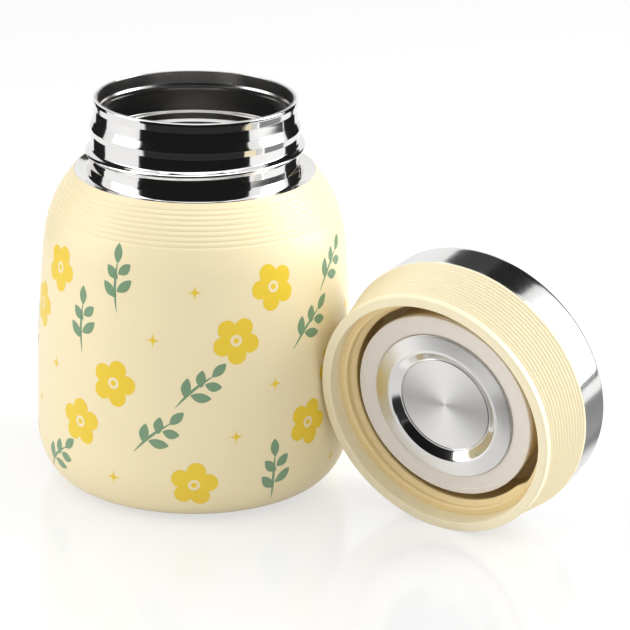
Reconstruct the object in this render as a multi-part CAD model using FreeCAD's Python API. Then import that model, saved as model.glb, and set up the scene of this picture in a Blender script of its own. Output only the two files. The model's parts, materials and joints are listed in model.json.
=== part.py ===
import FreeCAD, Part
import math
import os

# Insulated food jar with its screw lid taken off and laid against its side.
# Millimetres. Origin at the centre of the jar's base, +Z up the jar's axis.
# The jar is a vacuum vessel: an outer shell, a threaded neck and an inner vessel.
# The lid is modelled upright, mouth down at z = 0, and then laid in its place.
# Curves of a half section are divided into a few equal chords.

# Outer shell of the jar
body_radius = 50.0
corner_width = 12.5
corner_height = 17.0
belly_height = 28.0
barrel_radius = 530.0
shoulder_height = 80.0
collar_height = 101.2
shell_wall = 0.8
foot_width = 1.4
hem_width = 0.8
hem_height = 3.6
corner_chords = 3
barrel_chords = 2
shoulder_chords = 4
inner_corner_chords = 2
inner_barrel_chords = 1
inner_shoulder_chords = 3

# Threaded neck
neck_height = 23.0
neck_radius = 32.4
neck_wall = 0.6
collar_width = 5.6
rim_set_in = 0.8
rim_round = 0.4
band_set_in = 1.15
bead_drop = 8.4
bead_rise = 0.55
bead_half_height = 2.3
bead_half_flat = 0.6
ledge_dip = 1.2

# Screw thread, shared by the neck and the lid
thread_lead = 5.0
thread_height = 1.7
thread_root_width = 3.0
thread_crest_width = 1.2
neck_thread_turns = 1.25
neck_thread_rise = 7.0
lid_thread_turns = 0.75
thread_run_out = 7.0
thread_clearance = 0.5
thread_embed = 0.3

# Inner vessel
bore_set_in = 1.8
seat_width = 2.2
vessel_set_in = 7.0
vessel_corner = 12.0
vessel_wall = 0.5
vessel_floor = 7.0
vessel_shoulder_drop = 24.5
vessel_top_drop = 2.6
seat_thickness = 0.5
vessel_corner_chords = 2
vessel_shoulder_chords = 3

# Foil wrap and getter in the vacuum space
foil_wall = 0.2
foil_gap = 0.2
foil_low_inset = 11.0
foil_high_inset = 2.7
getter_radius = 5.0
getter_height = 1.4
getter_offset = 16.0

# Closures of the base
base_disc_wall = 0.7
base_disc_height = 2.6
port_radius = 1.2
solder_radius = 2.4
solder_height = 1.0
base_cover_wall = 0.6
base_cover_recess = 0.5

# Lid, outside
lip_width = 3.2
lid_round = 1.0
lid_ring_height = 4.0
flank_flare = 3.15
lid_flank_height = 18.2
cap_taper = 0.6
lid_height = 31.2
cap_wall = 0.5
cap_round = 1.8
skirt_wall = 1.8
edge_chords = 2

# Lid, inside
sleeve_wall = 2.4
sleeve_recess = 5.2
sleeve_chamfer_width = 0.5
sleeve_chamfer_height = 0.5
ceiling_wall = 1.6
rim_clearance = 1.0
closed_gap = 0.3

# Plug, seal and inner plate
seal_play = 0.1
seal_depth = 6.8
seal_thickness = 1.8
seal_squeeze = 0.2
plug_inset = 0.9
plug_wall = 1.4
seal_width = 6.3
plate_depth = 6.5
plate_land = 5.25
plate_crown_depth = 5.5
plate_slope = 3.25
plate_dish_depth = 7.5
plate_wall = 0.5
hub_set_in = 0.5
seal_clearance = 0.2

# Small gap between pieces that are joined in one body
part_fit = 0.05

# How the lid lies beside the jar
lid_gap = 0.35
floor_gap = 0.02
lid_facing_deg = 35.8
lid_bearing_deg = -37.65
lid_approaches = 4
lid_spin_deg = 150.0

# Sizes that follow from the ones above
rim_height = collar_height + neck_height
collar_radius = neck_radius + collar_width
rim_radius = neck_radius - rim_set_in
upper_band_radius = neck_radius - band_set_in
bore_radius = neck_radius - bore_set_in
throat_radius = bore_radius - seat_width
vessel_radius = body_radius - vessel_set_in
shoulder_start_angle = math.asin((shoulder_height - belly_height) / barrel_radius)
vessel_shoulder_height = collar_height - vessel_shoulder_drop
seat_height = collar_height + closed_gap + seal_depth - seal_squeeze
foot_inner_radius = body_radius - corner_width - foot_width
disc_radius = foot_inner_radius - part_fit
sleeve_radius = neck_radius + thread_height + thread_clearance
lid_opening_radius = sleeve_radius + sleeve_wall
lid_radius = lid_opening_radius + lip_width
lid_flank_radius = lid_radius + flank_flare
lid_top_radius = lid_flank_radius - cap_taper
sleeve_ceiling = neck_height - closed_gap + rim_clearance
ceiling_top = sleeve_ceiling + ceiling_wall
cap_inner_height = lid_height - cap_wall - part_fit
panel_underside = cap_inner_height - skirt_wall
seal_radius = bore_radius - seal_play
plug_radius = seal_radius - plug_inset
plate_radius = seal_radius - seal_width
plate_crown_radius = plate_radius - plate_land
plate_dish_radius = plate_crown_radius - plate_slope
hub_radius = plate_radius - hub_set_in
seal_back = seal_depth + seal_thickness
plug_floor = seal_back + part_fit + plug_wall
lid_thread_crest = neck_radius + thread_clearance
neck_thread_middle = collar_height + neck_thread_rise
sleeve_bore_start = sleeve_recess + sleeve_chamfer_height
lid_thread_middle = sleeve_bore_start + (thread_root_width + thread_lead * lid_thread_turns) / 2.0
lid_tilt = math.atan2(lid_flank_radius - lid_radius, lid_flank_height - lid_round)

Z_AXIS = FreeCAD.Vector(0, 0, 1)
CENTRE = FreeCAD.Vector(0, 0, 0)


def at(r, z):
    """A point of a half section: r out from the axis, z up it."""
    return FreeCAD.Vector(r, 0, z)


def turn(points):
    """The solid made by turning a half section, given by its corners, about the axis."""
    outline = Part.makePolygon([at(*p) for p in points + points[:1]])
    return Part.Face(outline).revolve(CENTRE, Z_AXIS, 360)


def circle_point(centre, radius, angle):
    return (centre[0] + radius * math.cos(angle), centre[1] + radius * math.sin(angle))


def arc_points(centre, radius, start, end, chords):
    """Points that divide an arc of the half section into equal chords, with both its ends."""
    step = (end - start) / chords
    return [circle_point(centre, radius, start + i * step) for i in range(chords + 1)]


def corner_points(low, high, chords):
    """Points on a quarter of an ellipse from a flat floor at low to an upright wall at high."""
    width = high[0] - low[0]
    height = high[1] - low[1]
    step = math.pi / 2.0 / chords
    return [
        (low[0] + width * math.sin(i * step), high[1] - height * math.cos(i * step))
        for i in range(chords + 1)
    ]


def dome_points(low, high, chords):
    """Points on a quarter of an ellipse from an upright wall at low to a flat top at high."""
    width = low[0] - high[0]
    height = high[1] - low[1]
    step = math.pi / 2.0 / chords
    return [
        (high[0] + width * math.cos(i * step), low[1] + height * math.sin(i * step))
        for i in range(chords + 1)
    ]


def shoulder_circle():
    """Centre and radius of the shoulder's curve, tangent to the barrel."""
    start = circle_point(
        (body_radius - barrel_radius, belly_height), barrel_radius, shoulder_start_angle
    )
    end = (collar_radius, collar_height)
    chord = math.dist(start, end)
    chord_angle = math.atan2(start[0] - end[0], end[1] - start[1])
    radius = chord / (2.0 * math.sin(chord_angle - shoulder_start_angle))
    centre = circle_point(start, -radius, shoulder_start_angle)
    return centre, radius


def body_wall(inset, chords):
    """Points of the shell's side at an inset from its outside, from the foot to the collar.
    The chords are those of the corner, the barrel and the shoulder."""
    low = (body_radius - corner_width, inset)
    side_low = (body_radius - inset, corner_height)
    barrel_centre = (body_radius - barrel_radius, belly_height)
    centre, radius = shoulder_circle()
    end_angle = math.acos((collar_radius - centre[0]) / (radius - inset))
    corner = corner_points(low, side_low, chords[0])
    barrel = arc_points(
        barrel_centre, barrel_radius - inset, 0.0, shoulder_start_angle, chords[1]
    )
    shoulder = arc_points(
        centre, radius - inset, shoulder_start_angle, end_angle, chords[2]
    )
    return corner + barrel + shoulder[1:]


def pot_wall(inset):
    """Points of the inner vessel's side at an inset from its outside, from floor to throat."""
    side = vessel_radius - inset
    corner = corner_points(
        (vessel_radius - vessel_corner, vessel_floor + inset),
        (side, vessel_floor + vessel_corner), vessel_corner_chords,
    )
    top = (throat_radius + vessel_wall - inset, collar_height - vessel_top_drop - inset)
    return corner + dome_points((side, vessel_shoulder_height), top, vessel_shoulder_chords)


def outer_shell():
    """Painted steel shell, turned in at the foot to a hem that holds the base disc and cover."""
    outside = body_wall(0.0, (corner_chords, barrel_chords, shoulder_chords))
    inside = body_wall(
        shell_wall, (inner_corner_chords, inner_barrel_chords, inner_shoulder_chords)
    )
    foot = [
        (foot_inner_radius + hem_width, hem_height),
        (foot_inner_radius, hem_height),
        (foot_inner_radius, 0.0),
    ]
    return turn(outside + inside[::-1] + foot)


def thread_ridge(root_radius, height, middle_z, turns, embed):
    """A helical ridge of trapezoid section that stands out of a wall, or into a bore if height is
    negative, with both ends sloped off. Its middle lies at the front, on the -Y side."""
    sign = 1.0 if height > 0 else -1.0
    rise = thread_lead * turns
    half_angle = 180.0 * turns
    path = Part.makeHelix(thread_lead, rise, root_radius)
    flare = (thread_root_width - thread_crest_width) / (2.0 * abs(height))
    half_crest = thread_crest_width / 2.0
    half_foot = thread_root_width / 2.0 + flare * embed
    foot = root_radius - sign * embed
    crest = root_radius + height
    section = Part.makePolygon([
        at(foot, -half_foot), at(crest, -half_crest), at(crest, half_crest), at(foot, half_foot),
        at(foot, -half_foot),
    ])
    ridge = Part.Wire(path).makePipeShell([section], True, True)
    run_out = thread_run_out
    slope = sign * math.degrees(math.atan2(abs(height), run_out))
    low = -half_foot - embed
    for end, z, lean in ((0.0, 0.0, -slope), (2.0 * half_angle, rise, slope)):
        cutter = Part.makeBox(run_out, 2.0 * run_out, -2.0 * low)
        cutter.translate(FreeCAD.Vector(0.0 if sign > 0 else -run_out, -run_out, low))
        cutter.rotate(CENTRE, Z_AXIS, lean)
        cutter.translate(FreeCAD.Vector(root_radius, 0.0, z))
        cutter.rotate(CENTRE, Z_AXIS, end)
        ridge = ridge.cut(cutter)
    ridge.rotate(CENTRE, Z_AXIS, -90.0 - half_angle)
    ridge.translate(FreeCAD.Vector(0, 0, middle_z - rise / 2.0))
    return ridge


def threaded_neck():
    """Drawn steel neck: a dished ledge, an upright wall with a rolled bead, and a screw thread."""
    root_z = collar_height - ledge_dip
    bead_z = rim_height - bead_drop
    bead_radius = neck_radius + bead_rise
    band_z = bead_z + bead_half_height
    weld_radius = bore_radius + vessel_wall + part_fit
    inner_radius = neck_radius - neck_wall
    edge_radius = collar_radius - part_fit
    neck = turn([
        (edge_radius, collar_height),
        (neck_radius, root_z),
        (neck_radius, bead_z - bead_half_height),
        (bead_radius, bead_z - bead_half_flat),
        (bead_radius, bead_z + bead_half_flat),
        (upper_band_radius, band_z),
        (rim_radius, rim_height - rim_round),
        (rim_radius - rim_round, rim_height),
        (weld_radius, rim_height),
        (weld_radius, band_z + neck_wall),
        (inner_radius, band_z - bead_half_height),
        (inner_radius, root_z - neck_wall),
        (edge_radius, collar_height - neck_wall),
    ])
    thread = thread_ridge(
        neck_radius, thread_height, neck_thread_middle, neck_thread_turns, thread_embed
    )
    return neck.fuse(thread)


def inner_vessel():
    """Liner: a rounded pot, a throat, the flat seat for the seal, and the bore up to the rim."""
    throat_outer = throat_radius + vessel_wall
    bore_outer = bore_radius + vessel_wall
    outside = pot_wall(0.0)
    inside = pot_wall(vessel_wall)
    upper = [
        (throat_outer, seat_height - seat_thickness),
        (bore_outer, seat_height - seat_thickness),
        (bore_outer, rim_height),
        (bore_radius, rim_height),
        (bore_radius, seat_height),
        (throat_radius, seat_height),
    ]
    floor = [(0.0, vessel_floor + vessel_wall), (0.0, vessel_floor)]
    return turn(outside + upper + inside[::-1] + floor)


def heat_shield():
    """Metal foil wrapped round the inner vessel's side, in the vacuum space."""
    inner = vessel_radius + foil_gap
    outer = inner + foil_wall
    low = vessel_floor + vessel_corner + foil_low_inset
    high = vessel_shoulder_height - foil_high_inset
    return turn([(inner, low), (outer, low), (outer, high), (inner, high)])


def getter():
    """Getter pill brazed to the underside of the inner vessel."""
    pill = Part.makeCylinder(getter_radius, getter_height)
    pill.translate(FreeCAD.Vector(getter_offset, 0, vessel_floor - getter_height))
    return pill


def base_disc():
    """Disc that closes the vacuum space, with a port at its centre."""
    disc = Part.makeCylinder(disc_radius, base_disc_wall)
    disc = disc.cut(Part.makeCylinder(port_radius, base_disc_wall))
    disc.translate(FreeCAD.Vector(0, 0, base_disc_height))
    return disc


def port_seal():
    """Solder bead that closes the port after the air is drawn out."""
    stem_radius = port_radius - part_fit
    stem_top = base_disc_height + base_disc_wall
    low = base_disc_height - solder_height
    return turn([
        (0.0, low), (port_radius, low), (solder_radius, base_disc_height),
        (stem_radius, base_disc_height), (stem_radius, stem_top), (0.0, stem_top),
    ])


def base_cover():
    """Flat cover that hides the port, set back a little from the foot."""
    cover = Part.makeCylinder(disc_radius, base_cover_wall)
    cover.translate(FreeCAD.Vector(0, 0, base_cover_recess))
    return cover


def cap_seat():
    """Radii of the skirt's seat for the steel cap, at its low edge and at its high edge."""
    inset = cap_wall + part_fit
    return lid_flank_radius - inset, lid_top_radius - inset


def skirt_shell():
    """Outer shell of the lid: smooth ring at the mouth, tapered flank, and a seat for the cap."""
    seat_low, seat_high = cap_seat()
    shoulder_z = lid_height - cap_round
    chamfer = cap_inner_height - shoulder_z
    mouth = (lid_radius - lid_round, lid_round)
    lip = arc_points(mouth, lid_round, -math.pi / 2.0, 0.0, edge_chords)
    return turn(lip + [
        (lid_radius, lid_ring_height),
        (lid_flank_radius, lid_flank_height),
        (seat_low, lid_flank_height),
        (seat_high, shoulder_z),
        (seat_high - chamfer, cap_inner_height),
        (0.0, cap_inner_height),
        (0.0, panel_underside),
        (seat_high - skirt_wall, panel_underside),
        (lid_opening_radius, lid_ring_height),
        (lid_opening_radius, 0.0),
    ])


def steel_cap():
    """Brushed steel cap pressed over the top of the skirt shell."""
    low_z = lid_flank_height + part_fit
    shoulder_z = lid_height - cap_round
    inner_z = lid_height - cap_wall
    chamfer = inner_z - shoulder_z
    inner_radius = lid_top_radius - cap_wall
    corner = (lid_top_radius - cap_round, shoulder_z)
    edge = arc_points(corner, cap_round, 0.0, math.pi / 2.0, edge_chords)
    return turn([(lid_flank_radius, low_z)] + edge + [
        (0.0, lid_height),
        (0.0, inner_z),
        (inner_radius - chamfer, inner_z),
        (inner_radius, shoulder_z),
        (lid_flank_radius - cap_wall, low_z),
    ])


def thread_sleeve():
    """Threaded sleeve inside the skirt, with a chamfered mouth and a ceiling round the plug."""
    outer = lid_opening_radius - part_fit
    hole = plug_radius + part_fit
    sleeve = turn([
        (outer, sleeve_recess),
        (outer, ceiling_top),
        (hole, ceiling_top),
        (hole, sleeve_ceiling),
        (sleeve_radius, sleeve_ceiling),
        (sleeve_radius, sleeve_bore_start),
        (sleeve_radius + sleeve_chamfer_width, sleeve_recess),
    ])
    ridge = thread_ridge(
        sleeve_radius, lid_thread_crest - sleeve_radius, lid_thread_middle,
        lid_thread_turns, thread_embed,
    )
    return sleeve.fuse(ridge)


def plug_cup():
    """Moulded cup that reaches into the neck, carrying the seal and the inner plate."""
    face = plate_dish_depth + plate_wall + part_fit
    seat = seal_back + part_fit
    inner = plug_radius - plug_wall
    return turn([
        (0.0, face),
        (hub_radius, face),
        (hub_radius, seat),
        (plug_radius, seat),
        (plug_radius, ceiling_top),
        (inner, ceiling_top),
        (inner, plug_floor),
        (0.0, plug_floor),
    ])


def inner_plate():
    """Pressed steel plate on the plug's face: a brushed land, a polished slope and a dish."""
    front = [
        (0.0, plate_dish_depth),
        (plate_dish_radius, plate_dish_depth),
        (plate_crown_radius, plate_crown_depth),
        (plate_radius, plate_depth),
    ]
    back = [(r, z + plate_wall) for r, z in front]
    return turn(front + back[::-1])


def insulation_puck():
    """Foam disc that fills the plug."""
    radius = plug_radius - plug_wall - part_fit
    foam = Part.makeCylinder(radius, panel_underside - plug_floor - 2.0 * part_fit)
    foam.translate(FreeCAD.Vector(0, 0, plug_floor + part_fit))
    return foam


def seal_ring():
    """Flat silicone ring round the hub, its inner edge under the plate's rim."""
    inner = hub_radius + seal_clearance
    under_plate = plate_depth + plate_wall + seal_clearance
    clear_of_plate = plate_radius + seal_clearance
    return turn([
        (seal_radius, seal_depth),
        (seal_radius, seal_back),
        (inner, seal_back),
        (inner, under_plate),
        (clear_of_plate, under_plate),
        (clear_of_plate, seal_depth),
    ])


def lid_placement(shell, skirt):
    """Where the lid lies: on its mouth ring and the top of its flank, mouth to the front left.
    It is set down clear of the jar and slid up to it until the named gap is left."""
    z = floor_gap + lid_radius * math.cos(lid_tilt) - lid_round * math.sin(lid_tilt)
    bearing = math.radians(lid_bearing_deg)
    away = FreeCAD.Vector(math.cos(bearing), math.sin(bearing), 0)
    turned = FreeCAD.Rotation(Z_AXIS, -lid_facing_deg)
    tipped = FreeCAD.Rotation(FreeCAD.Vector(1, 0, 0), math.degrees(lid_tilt) - 90.0)
    spun = FreeCAD.Rotation(Z_AXIS, lid_spin_deg)
    place = turned.multiply(tipped).multiply(spun)
    distance = body_radius + 2.0 * lid_flank_radius
    for _ in range(lid_approaches):
        skirt.Placement = FreeCAD.Placement(away * distance + Z_AXIS * z, place)
        distance -= shell.distToShape(skirt)[0] - lid_gap
    return FreeCAD.Placement(away * distance + Z_AXIS * z, place)


JAR_NODES = {
    "outer_shell": outer_shell,
    "threaded_neck": threaded_neck,
    "inner_vessel": inner_vessel,
    "heat_shield": heat_shield,
    "getter": getter,
    "base_disc": base_disc,
    "port_seal": port_seal,
    "base_cover": base_cover,
}

LID_NODES = {
    "skirt_shell": skirt_shell,
    "steel_cap": steel_cap,
    "thread_sleeve": thread_sleeve,
    "plug_cup": plug_cup,
    "inner_plate": inner_plate,
    "insulation_puck": insulation_puck,
    "seal_ring": seal_ring,
}


def export(name, shape):
    shape.exportStep(os.path.join("parts", name + ".step"))
    print(name, "solids", len(shape.Solids), "valid", shape.isValid(), "volume", round(shape.Volume))


def main():
    os.makedirs("parts", exist_ok=True)
    for name, make in JAR_NODES.items():
        export(name, make())
    place = lid_placement(outer_shell(), skirt_shell())
    for name, make in LID_NODES.items():
        export(name, make().transformed(place.toMatrix(), True))
    print("lid mouth centre", [round(v, 3) for v in place.Base], "tilt", math.degrees(lid_tilt))
    print("lid opening axis", place.Rotation.multVec(-Z_AXIS))


main()
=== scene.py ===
import json
import math

import bpy
from bpy.props import (
    FloatProperty, FloatVectorProperty, IntProperty, PointerProperty,
)
from mathutils import Matrix, Vector


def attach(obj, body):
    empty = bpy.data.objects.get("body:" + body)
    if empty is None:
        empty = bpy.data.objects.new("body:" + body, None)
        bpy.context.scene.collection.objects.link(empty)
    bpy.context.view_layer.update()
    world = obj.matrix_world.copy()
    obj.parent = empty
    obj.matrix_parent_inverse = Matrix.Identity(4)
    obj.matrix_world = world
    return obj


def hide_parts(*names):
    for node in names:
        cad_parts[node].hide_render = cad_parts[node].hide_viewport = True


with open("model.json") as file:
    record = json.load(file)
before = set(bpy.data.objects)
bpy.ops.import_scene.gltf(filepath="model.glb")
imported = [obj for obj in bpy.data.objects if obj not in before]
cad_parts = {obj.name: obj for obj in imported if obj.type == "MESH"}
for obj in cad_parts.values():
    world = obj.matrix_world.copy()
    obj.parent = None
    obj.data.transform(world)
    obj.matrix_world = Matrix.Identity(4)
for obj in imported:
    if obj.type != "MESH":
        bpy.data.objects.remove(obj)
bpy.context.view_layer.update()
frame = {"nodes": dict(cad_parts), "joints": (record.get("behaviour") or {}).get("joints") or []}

bl_info = {
    "name": "Insulated food jar",
    "version": (1, 0, 0),
    "blender": (4, 5, 0),
    "location": "View3D > Sidebar > Food jar",
    "description": "A vacuum food jar with its screw lid laid beside it",
    "category": "Add Mesh",
}

MM = 0.001
TURN = 2.0 * math.pi

# Sizes shared by the pieces, in millimetres, in the jar's frame or in the lid's own frame
BODY_RADIUS = 50.0
CORNER_WIDTH = 12.5
CORNER_HEIGHT = 17.0
BELLY_HEIGHT = 28.0
BARREL_RADIUS = 530.0
SHOULDER_HEIGHT = 80.0
COLLAR_RADIUS = 38.0
COLLAR_HEIGHT = 101.2
SHELL_WALL = 0.8
FOOT_INNER = 36.1
HEM_HEIGHT = 3.6
RIM_HEIGHT = 124.2
NECK_RADIUS = 32.7
SLEEVE_RADIUS = 34.6
LID_MOUTH_RADIUS = 37.0
SKIRT_FOOT_RADIUS = 40.2
SKIRT_TOP_RADIUS = 43.3
CAP_FOOT_HEIGHT = 18.25
PAINT_SKIN = 0.05

# The threads of the neck and the lid: their lead, their width at the wall, and for each the turn
# round its axis at which its middle stands
THREAD_LEAD = 5.0
THREAD_ROOT = 3.0
NECK_THREAD_SWEEP = -0.25
LID_THREAD_SWEEP = -0.036

# What a point of a ringed surface carries in place of its length where it has no ring
NO_RING = -1.0

LATHE_STEPS = 288
FILLET_STEPS = 6
SHARP_DEGREES = 32.0
RINGED_SHARP_DEGREES = 60.0

POLISHED = (0.80, 0.79, 0.78)


def lid_frame():
    """The lid's own frame: its origin at the mouth's centre, +Z towards the lid's back."""
    joint = next(j for j in frame["joints"] if j["name"] == "lid_turn")
    back = Vector(joint["axis"]).normalized()
    side = Vector((0, 0, 1)).cross(back).normalized()
    up = back.cross(side)
    turn = Matrix((side, up, back)).transposed().to_4x4()
    return Matrix.Translation(Vector(joint["pos_m"])) @ turn


LID = lid_frame()


def linear(red, green, blue):
    """A colour given as a screen value from 0 to 255, as the linear value that shaders use."""
    def one(value):
        value /= 255.0
        return value / 12.92 if value <= 0.04045 else ((value + 0.055) / 1.055) ** 2.4
    return one(red), one(green), one(blue)


class JarSettings(bpy.types.PropertyGroup):
    """Sizes and colours of the jar and its print."""
    ring_pitch: FloatProperty(
        name="Ring pitch", description="Spacing of the rings on the shoulder",
        default=1.64 * MM, unit="LENGTH", subtype="DISTANCE")
    ring_depth: FloatProperty(
        name="Ring depth", description="Depth of the rings on the shoulder",
        default=0.2 * MM, unit="LENGTH", subtype="DISTANCE")
    ring_count: IntProperty(
        name="Rings", description="Number of rings on the shoulder", default=8, min=1, max=20)
    thread_height: FloatProperty(
        name="Thread height", description="How far the neck's thread stands out",
        default=1.7 * MM, unit="LENGTH", subtype="DISTANCE")
    thread_turns: FloatProperty(
        name="Thread turns", description="Length of the neck's thread in turns", default=1.25)
    enamel: FloatVectorProperty(
        name="Enamel", description="Colour of the painted shell", subtype="COLOR",
        default=linear(240, 225, 184))
    blossom: FloatVectorProperty(
        name="Blossom", description="Yellow of the print", subtype="COLOR",
        default=linear(236, 202, 50))
    leaf: FloatVectorProperty(
        name="Leaf", description="Green of the print", subtype="COLOR",
        default=linear(120, 152, 118))


class LidSettings(bpy.types.PropertyGroup):
    """Sizes and colours of the lid."""
    ring_count: IntProperty(
        name="Rings", description="Number of rings on the skirt", default=13, min=1, max=24)
    ring_depth: FloatProperty(
        name="Ring depth", description="Depth of the rings on the skirt",
        default=0.45 * MM, unit="LENGTH", subtype="DISTANCE")
    thread_height: FloatProperty(
        name="Thread height", description="How far the lid's thread stands into the bore",
        default=1.7 * MM, unit="LENGTH", subtype="DISTANCE")
    plastic: FloatVectorProperty(
        name="Plastic", description="Colour of the moulded skirt", subtype="COLOR",
        default=linear(240, 229, 196))
    # The liner colour is the lid's cream plastic painted deeper and warmer, as painted shade and
    # bounced light inside the lid
    shaded_liner: FloatVectorProperty(
        name="Liner", description="Colour of the plastic inside the lid", subtype="COLOR",
        default=linear(238, 214, 160))
    silicone: FloatVectorProperty(
        name="Silicone", description="Colour of the seal", subtype="COLOR",
        default=linear(226, 219, 211))


# Node trees

class Val:
    """A socket that Python's operators add Math nodes to."""

    def __init__(self, graph, socket):
        self.graph = graph
        self.socket = socket

    def __add__(self, other):
        return self.graph.math("ADD", self, other)

    def __sub__(self, other):
        return self.graph.math("SUBTRACT", self, other)

    def __rsub__(self, other):
        return self.graph.math("SUBTRACT", other, self)

    def __mul__(self, other):
        return self.graph.math("MULTIPLY", self, other)

    def __truediv__(self, other):
        return self.graph.math("DIVIDE", self, other)

    def __rtruediv__(self, other):
        return self.graph.math("DIVIDE", other, self)

    __radd__ = __add__
    __rmul__ = __mul__


class Graph:
    """Builds the nodes of one tree."""

    def __init__(self, tree):
        self.tree = tree

    def add(self, kind, settings=None, sockets=None):
        """Adds a node: its settings first, then the values or links of its sockets."""
        node = self.tree.nodes.new(kind)
        for name, value in (settings or {}).items():
            setattr(node, name, value)
        for name, value in (sockets or {}).items():
            self.feed(node.inputs[name], value)
        return node

    def feed(self, target, value):
        """Links a socket to another one, or gives it a value."""
        if isinstance(value, Val):
            value = value.socket
        if isinstance(value, bpy.types.NodeSocket):
            self.tree.links.new(value, target)
        else:
            target.default_value = value

    def val(self, kind, output, settings=None, sockets=None):
        """Adds a node and gives one of its outputs."""
        return Val(self, self.add(kind, settings, sockets).outputs[output])

    def math(self, operation, *values):
        return self.val("ShaderNodeMath", 0, {"operation": operation}, dict(enumerate(values)))

    def smooth(self, value, low, high):
        """0 below low, 1 above high, with a smooth step between."""
        return self.val("ShaderNodeMapRange", "Result", {"interpolation_type": "SMOOTHSTEP"},
                        {"Value": value, "From Min": low, "From Max": high})

    def between(self, value, low, full, fading, high):
        """1 from full to fading, 0 below low and above high, with smooth steps between."""
        return self.smooth(value, low, full) * (1.0 - self.smooth(value, fading, high))

    def split(self, vector):
        node = self.add("ShaderNodeSeparateXYZ", None, {0: vector})
        return [Val(self, node.outputs[i]) for i in range(3)]

    def join(self, x, y, z):
        return self.val("ShaderNodeCombineXYZ", 0, None, {0: x, 1: y, 2: z})

    def from_axis(self, x, y):
        """Distance from the axis."""
        return self.math("SQRT", x * x + y * y)

    def mix(self, factor, first, second):
        """Mixes two colours, the node's sockets 6 and 7, into its output 2."""
        return self.val("ShaderNodeMix", 2, {"data_type": "RGBA"},
                        {0: factor, 6: first, 7: second})


def rgba(colour):
    return (*colour[:3], 1.0)


def blank_material(name):
    """A material without nodes, and the graph that adds them."""
    made = bpy.data.materials.new(name)
    made.use_nodes = True
    made.node_tree.nodes.clear()
    return made, Graph(made.node_tree)


def add_object(name, data):
    obj = bpy.data.objects.new(name, data)
    bpy.context.scene.collection.objects.link(obj)
    return obj


# Meshes

def shade(mesh, sharp=SHARP_DEGREES):
    """Smooth shading, apart from the edges that are sharper than an angle in degrees."""
    mesh.shade_smooth()
    mesh.set_sharp_from_angle(angle=math.radians(sharp))


def settle(obj, modifier, sharp=SHARP_DEGREES):
    """Leaves an object with one modifier as a plain mesh."""
    bpy.context.view_layer.update()
    ready = obj.evaluated_get(bpy.context.evaluated_depsgraph_get())
    obj.data = bpy.data.meshes.new_from_object(ready)
    obj.modifiers.remove(modifier)
    shade(obj.data, sharp)


def soften(points):
    """Rounds the corners of a closed half section whose points are (r, z) or (r, z, fillet)."""
    result = []
    count = len(points)
    for i, point in enumerate(points):
        here = Vector(point[:2])
        fillet = point[2] if len(point) > 2 else 0.0
        if fillet <= 0.0:
            result.append(tuple(here))
            continue
        before = Vector(points[i - 1][:2])
        after = Vector(points[(i + 1) % count][:2])
        one = (before - here).normalized()
        two = (after - here).normalized()
        half = one.angle(two) / 2.0
        reach = fillet / math.tan(half)
        reach = min(reach, 0.49 * (before - here).length, 0.49 * (after - here).length)
        start = here + one * reach
        end = here + two * reach
        for k in range(FILLET_STEPS + 1):
            t = k / FILLET_STEPS
            result.append(tuple(start * (1 - t) ** 2 + here * 2 * t * (1 - t) + end * t ** 2))
    return result


def divide(points, longest, wall=None, fine=0.16):
    """Adds points so that no edge of a half section is longer than the given length, or than
    the fine one on the wall that carries a thread."""
    wall_margin = 0.4
    result = []
    for a, b in zip(points, points[1:] + points[:1]):
        on_axis = a[0] == b[0] == 0.0
        threaded = wall is not None and max(abs(a[0] - wall), abs(b[0] - wall)) < wall_margin
        limit = fine if threaded else longest
        pieces = 1 if on_axis else max(1, math.ceil(math.dist(a, b) / limit))
        for k in range(pieces):
            t = k / pieces
            result.append((a[0] + (b[0] - a[0]) * t, a[1] + (b[1] - a[1]) * t))
    return result


def lathe(name, section, material, steps=LATHE_STEPS, place=None, along=None):
    """A solid turned from a closed half section in millimetres. The values in along, one for each
    point of the section, stay on the mesh."""
    area = sum(a[0] * b[1] - b[0] * a[1] for a, b in zip(section, section[1:] + section[:1]))
    order = list(range(len(section)))
    if area < 0:
        order.reverse()
    verts, rows, marks = [], [], []
    for i in order:
        r, z = section[i]
        start = len(verts)
        if r < 1e-6:
            verts.append((0.0, 0.0, z * MM))
            rows.append([start] * steps)
        else:
            for k in range(steps):
                angle = TURN * k / steps
                verts.append((r * math.cos(angle) * MM, r * math.sin(angle) * MM, z * MM))
            rows.append(list(range(start, start + steps)))
        marks += [along[i] if along else 0.0] * (len(verts) - start)
    faces = []
    for low, high in zip(rows, rows[1:] + rows[:1]):
        for k in range(steps):
            n = (k + 1) % steps
            face = []
            for v in (low[k], low[n], high[n], high[k]):
                if v not in face:
                    face.append(v)
            if len(face) > 2:
                faces.append(face)
    mesh = bpy.data.meshes.new(name)
    mesh.from_pydata(verts, [], faces)
    if along:
        mesh.attributes.new("along", "FLOAT", "POINT").data.foreach_set("value", marks)
    if place is not None:
        mesh.transform(place)
    shade(mesh)
    mesh.materials.append(material)
    return add_object(name, mesh)


def new_tree(name, inputs):
    """A geometry node tree with one geometry in and out and named inputs; returns its graph."""
    tree = bpy.data.node_groups.new(name, "GeometryNodeTree")
    tree.interface.new_socket("Geometry", in_out="INPUT", socket_type="NodeSocketGeometry")
    tree.interface.new_socket("Geometry", in_out="OUTPUT", socket_type="NodeSocketGeometry")
    for label, kind in inputs.items():
        tree.interface.new_socket(label, in_out="INPUT", socket_type="NodeSocket" + kind)
    graph = Graph(tree)
    source = graph.add("NodeGroupInput")
    values = {s.name: Val(graph, s) for s in source.outputs if s.name}
    return graph, values


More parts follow.
